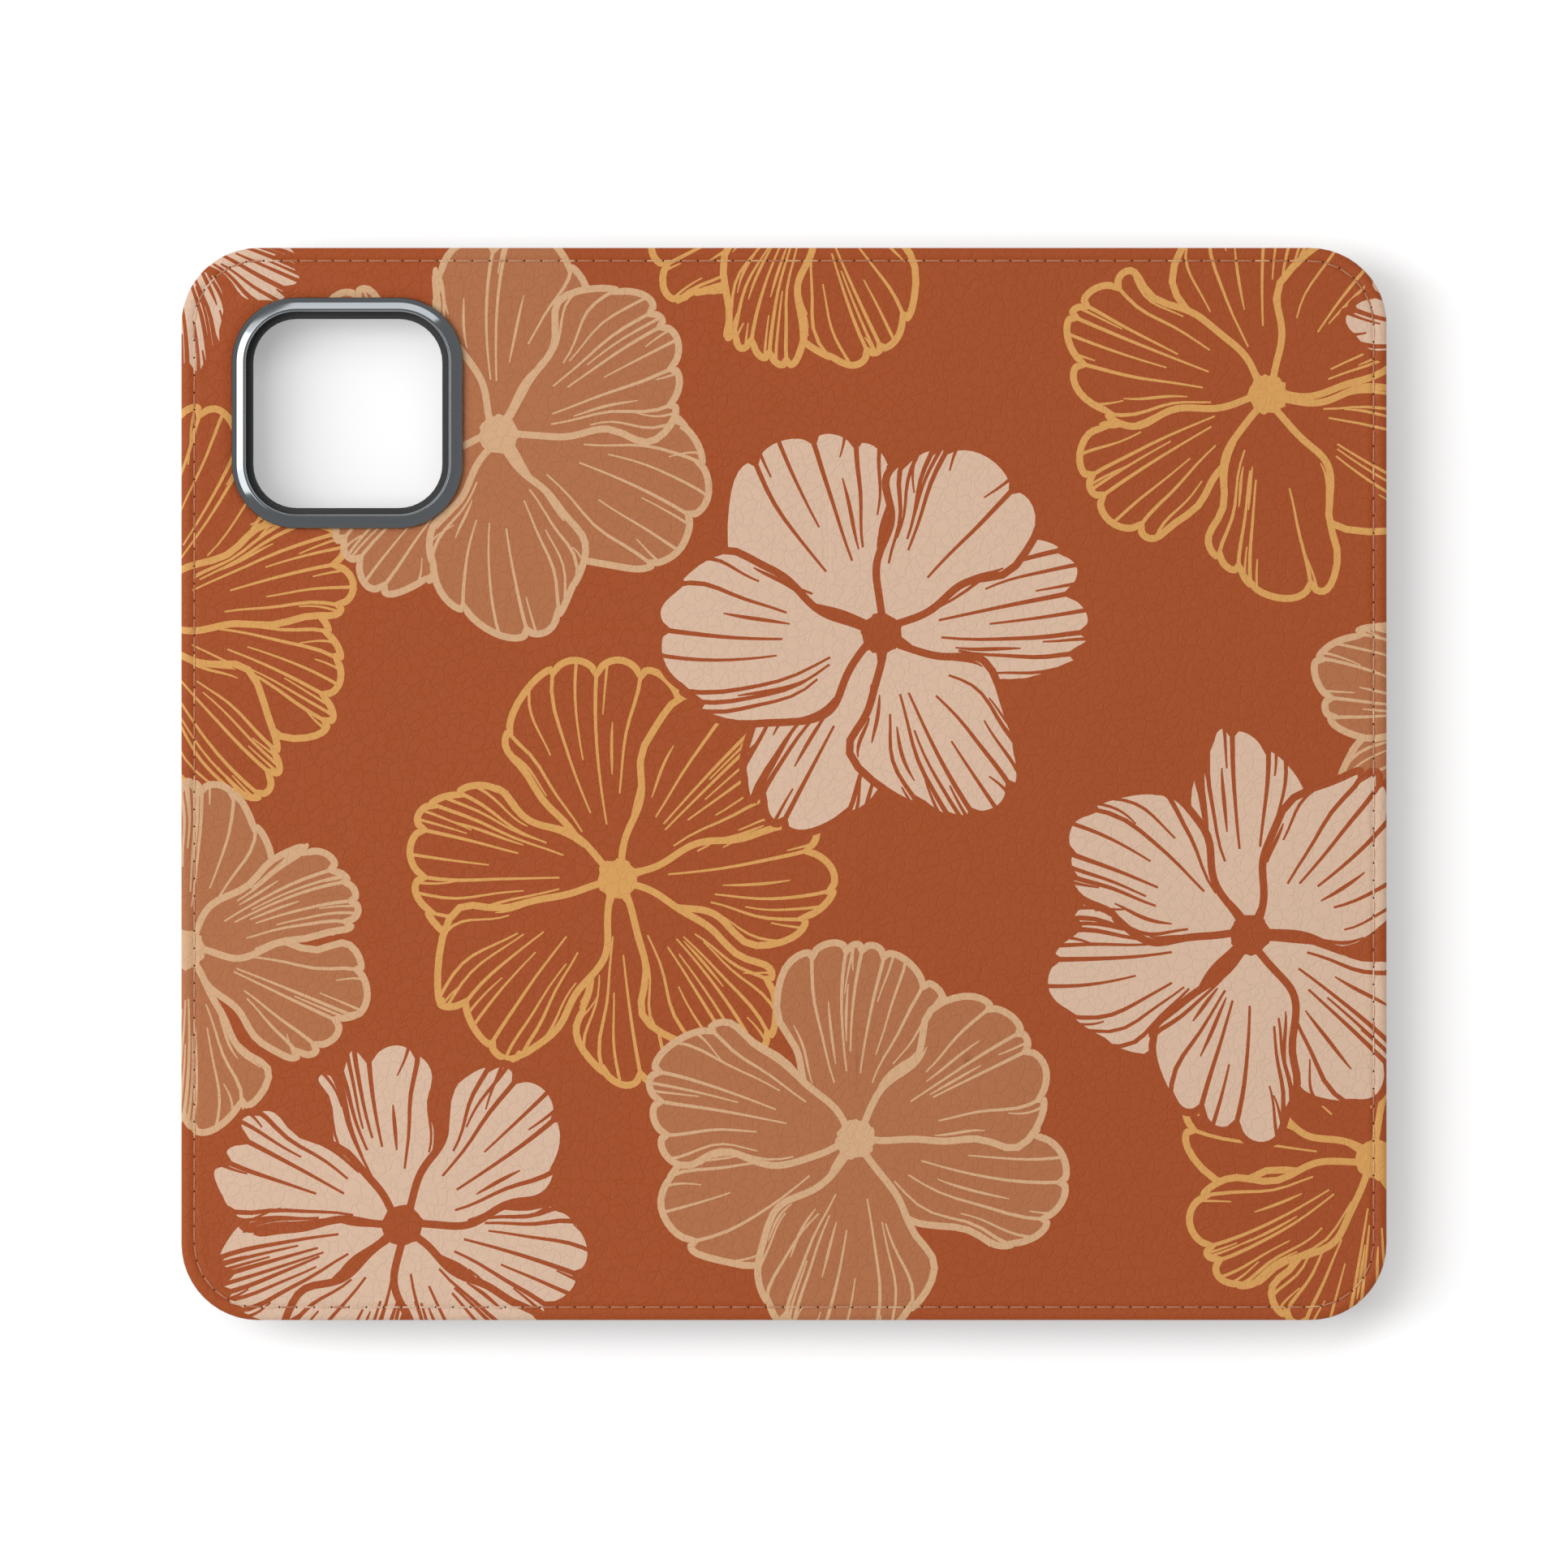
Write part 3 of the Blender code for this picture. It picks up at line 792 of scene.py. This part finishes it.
def lining(look):
    """Dark microfibre on the inner face, pressed up into a channel along each fold line."""
    inset = 1.05
    outline = rounded_loop(HALF_X - inset, HALF_Y - inset, CASE_CORNER - inset)
    loops = [
        rounded_loop(HALF_X - inset - d, HALF_Y - inset - d, CASE_CORNER - inset - d)
        for d in (0.15, 0.4, 0.8, 1.2)
    ]
    hole = rounded_loop(HOLE_HALF, HOLE_HALF, WINDOW_CORNER - HOLE_INSET, WINDOW)

    def height(x, y):
        depth = edge_distance(x, y) - inset
        level = SKIN_BOTTOM + 0.25 * (1 - smooth(depth / 0.4))
        level += 0.10 * math.exp(-(((depth - (STITCH_INSET - inset)) / 0.25) ** 2))
        for fold in FOLD_LINES:
            level += 0.95 * (0.5 + 0.5 * math.cos(math.pi * min(1.0, abs(x - fold) / CREASE)))
        return level + 0.04 * noise.noise(Vector((x / 9, y / 9, 7.0)))

    plan = triangulate(outline, hole, [], loops, skin_lines(), inner_points(3.0, 3.2))
    nodes = {"back": ("back_lining", "spine_lining"), "cover": ("cover_lining",)}
    for side, sign in (("back", -1), ("cover", 1)):
        shape = raise_relief(*plan, height, sign)
        bmesh.ops.reverse_faces(shape, faces=shape.faces[:])
        piece = finish_mesh(f"lining_{side}", shape, [look], bend=BENDS[side])
        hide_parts(*nodes[side])


def pocket_sheet(node, look):
    """A pocket's sheet: rounded edges, a turned hem along its mouth and a pressed line beside it."""
    low, high = (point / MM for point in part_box(node))
    centre = ((low.x + high.x) / 2, (low.y + high.y) / 2)
    half_x, half_y = (high.x - low.x) / 2, (high.y - low.y) / 2
    thick = high.z - low.z
    hem, line_place = 3.2, 1.5

    def below(x, y):
        """Depth of the sheet's lower face; the pressed line and the hem's step run along Y."""
        mouth = x - low.x
        edge = min(mouth, high.x - x, y - low.y, high.y - y)
        level = low.z + 0.5 * thick * (1 - smooth(edge / 0.30))
        level += 0.10 * math.exp(-(((mouth - line_place) / 0.22) ** 2))
        level += 0.07 * smooth((mouth - hem) / 0.25)
        return level + 0.025 * noise.noise(Vector((x / 7, y / 7, low.z)))

    insets = (0.1, 0.2, 0.32)
    loops = [rounded_loop(half_x - d, half_y - d, POCKET_CORNER - d, centre) for d in insets]
    places = (0.9, 1.2, 1.35, 1.5, 1.65, 1.8, 2.2, 3.1, 3.25, 3.4, 3.6)
    lines = [[(low.x + p, low.y - 1), (low.x + p, high.y + 1)] for p in places]
    xs = np.arange(low.x + 5, high.x - 1, 3.0)
    points = [(x, y) for x in xs for y in np.arange(low.y + 1.5, high.y - 1, 3.0)]
    outline = rounded_loop(half_x, half_y, POCKET_CORNER, centre)
    plan = triangulate(outline, None, [], loops, lines, points)
    shape = raise_relief(*plan, below)
    rim = [edge for edge in shape.edges if edge.is_boundary]
    made = bmesh.ops.extrude_edge_only(shape, edges=rim)["geom"]
    for vert in (item for item in made if isinstance(item, bmesh.types.BMVert)):
        vert.co.z = (high.z - 0.02) * MM
    rim = [item for item in made if isinstance(item, bmesh.types.BMEdge) and item.is_boundary]
    bmesh.ops.contextual_create(shape, geom=rim)
    bmesh.ops.recalc_face_normals(shape, faces=shape.faces[:])
    piece = finish_mesh(node + "_sheet", shape, [look], body="cover")
    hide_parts(node)


def pocket_seam(look):
    """Stitches down both ends of the card slots and along their closed side."""
    shape = bmesh.new()
    slots = [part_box(f"card_slot_{place}") for place in ("rear", "middle", "front")]
    starts = [low.x / MM for low, _ in slots]
    levels = [low.z / MM for low, _ in slots]
    closed_x = slots[-1][1].x / MM - POCKET_STITCH_INSET
    end_y = slots[-1][1].y / MM - POCKET_STITCH_INSET
    pitch = POCKET_PITCH

    def level(x):
        covered = [k for k, start in enumerate(starts) if x > start]
        return levels[covered[-1]] if covered else levels[0]

    for y in (end_y, -end_y):
        for x in np.arange(starts[0] + 0.8, closed_x - 0.5 * pitch, pitch):
            under = min(level(x), level(x + pitch))
            if level(x) == level(x + pitch):
                stitch_mesh(shape, (x, y), (x + pitch, y), under, -1, POCKET_THREAD, 0)
    for y in np.arange(-end_y, end_y - 0.5 * pitch, pitch):
        ends = (closed_x, y), (closed_x, y + pitch)
        stitch_mesh(shape, *ends, levels[-1], -1, POCKET_THREAD, 0)
    bmesh.ops.recalc_face_normals(shape, faces=shape.faces[:])
    piece = finish_mesh("pocket_stitches", shape, [look], body="cover")
    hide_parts("pocket_thread")


# ---------------------------------------------------------------- bezel


def camera_guard(look):
    """The glossy ring: a flat flange, a raised ridge, and a wall down through the layers."""
    flange = bezel_low.z + BEZEL_NECK
    top = bezel_high.z
    foot = bezel_low.z
    # Inset from the outer edge, and height: up the outer side, over a flat band and a slope
    # that leans outwards to the crest, and down the inner wall
    profile = (
        (0.90, flange),
        (0.05, flange),
        (0.0, flange + 0.06),
        (0.0, top - 0.50),
        (0.03, top - 0.34),
        (0.09, top - 0.25),
        (0.16, top - 0.205),
        (0.74, top - 0.205),
        (1.54, top - 0.018),
        (1.60, top - 0.006),
        (1.68, top),
        (1.77, top - 0.01),
        (1.83, top - 0.05),
        (1.92, top - 0.20),
        (2.02, top - 0.50),
        (2.10, top - 1.30),
        (2.10, foot + 0.1),
        (2.00, foot),
        (0.95, foot),
        (0.90, foot + 0.1),
    )
    shape = bmesh.new()
    rings = []
    for inset, z in profile:
        half = WINDOW_HALF - inset
        loop = rounded_loop(half, half, WINDOW_CORNER - inset, WINDOW, step=99.0, corner_steps=20)
        rings.append([shape.verts.new((x * MM, y * MM, z * MM)) for x, y in loop])
    for lower, upper in zip(rings, rings[1:] + rings[:1]):
        for k in range(len(lower)):
            after = (k + 1) % len(lower)
            shape.faces.new((lower[k], lower[after], upper[after], upper[k]))
    bmesh.ops.recalc_face_normals(shape, faces=shape.faces[:])
    piece = finish_mesh("camera_guard", shape, [look], body="back_panel", crisp=12.0)
    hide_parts("camera_bezel")


# ---------------------------------------------------------------- studio


def studio():
    """A pale floor, soft light from the upper left, and a long lens straight above."""
    view_width = 0.2253  # metres across the picture at the leather's top
    distance = 3.0
    camera_data = bpy.data.cameras.new("camera")
    camera_data.sensor_width = 36.0
    camera_data.lens = 36.0 * (distance - SKIN_TOP * MM) / view_width
    camera_data.clip_end = 20.0
    camera = bpy.data.objects.new("camera", camera_data)
    camera.location = (0.0, 0.0, distance)
    bpy.context.scene.collection.objects.link(camera)
    bpy.context.scene.camera = camera

    mesh = bpy.data.meshes.new("floor")
    reach = 6.0
    corners = [(sx * reach, sy * reach, 0) for sx, sy in ((-1, -1), (1, -1), (1, 1), (-1, 1))]
    mesh.from_pydata(corners, [], [(0, 1, 2, 3)])
    floor = bpy.data.objects.new("floor", mesh)
    bpy.context.scene.collection.objects.link(floor)
    paper = Look("floor", (1.0, 1.0, 1.0, 1.0), 0.9, Specular_IOR_Level=0.0, Emission_Strength=0.24)
    mesh.materials.append(paper.material)

    world = bpy.data.worlds.new("studio")
    world.use_nodes = True
    background = world.node_tree.nodes["Background"]
    background.inputs["Color"].default_value = (1.0, 1.0, 1.0, 1.0)
    background.inputs["Strength"].default_value = 0.43
    bpy.context.scene.world = world
    strip_light("left_strip", (-0.9, 0.1, 1.2), (0.7, 1.5), 0.43)
    strip_light("top_strip", (-0.25, 0.50, 1.4), (1.7, 0.40), 0.19)
    bpy.context.scene.view_settings.view_transform = "Standard"


def strip_light(name, place, sides, share):
    """A soft strip aimed at the case; its share is what it adds to a white sheet lying flat."""
    data = bpy.data.lights.new(name, "AREA")
    data.shape = "RECTANGLE"
    data.size, data.size_y = sides
    reach = Vector(place).length
    area = sides[0] * sides[1]
    radiance = share * math.pi * reach**2 / (area * place[2] / reach)
    data.energy = radiance * math.pi * area
    light = bpy.data.objects.new(name, data)
    light.location = place
    light.rotation_euler = (-Vector(place)).to_track_quat("-Z", "Y").to_euler()
    bpy.context.scene.collection.objects.link(light)


def dress_node(name, look):
    """Gives a look to a node that is shown as it is in the CAD."""
    node = frame["nodes"][name]
    node.data.materials.clear()
    node.data.materials.append(look)


def main():
    prints = [shape for flower in FLOWERS for shape in draw_flower(*flower)]
    path = stitch_path()
    inks = [crackle_leather(f"leather_{name}", colour) for name, colour in INKS.items()]
    threads = [
        thread_look(f"thread_{name}", mixed(colour, THREAD_TINT, THREAD_SHARE))
        for name, colour in INKS.items()
    ]
    dark_thread = thread_look("thread_dark", (44, 38, 36))
    pocket_look = fine_leather("pocket_leather", (46, 40, 38))
    printed_skin(prints, hole_shade_discs(path), inks)
    seams(path, prints, threads, dark_thread)
    lining(microfibre("dark_lining", (40, 35, 33)))
    pocket_sheet("note_pocket", pocket_look)
    for place in ("rear", "middle", "front"):
        pocket_sheet(f"card_slot_{place}", pocket_look)
    pocket_seam(thread_look("thread_pocket", (98, 88, 80)))
    sheen = (0.90, 0.96, 1.0, 1.0)
    camera_guard(moulded("glossy_bezel", (20, 22, 27), 0.08, 0.0, IOR=2.8, Specular_Tint=sheen))
    dress_node("cradle_shell", moulded("cradle_plastic", (24, 24, 26), 0.42, 0.6))
    steel = metal("nickel_plate", (190, 188, 184))
    board = fine_leather("pressed_board", (170, 160, 140))
    glue = moulded("adhesive_film", (225, 225, 218), 0.3, 0.2)
    for place in ("upper", "lower"):
        dress_node(f"closure_keeper_{place}", steel)
        dress_node(f"cover_magnet_{place}", steel)
    for name in ("back_board", "spine_board", "cover_board"):
        dress_node(name, board)
    dress_node("shell_adhesive", glue)
    studio()


main()
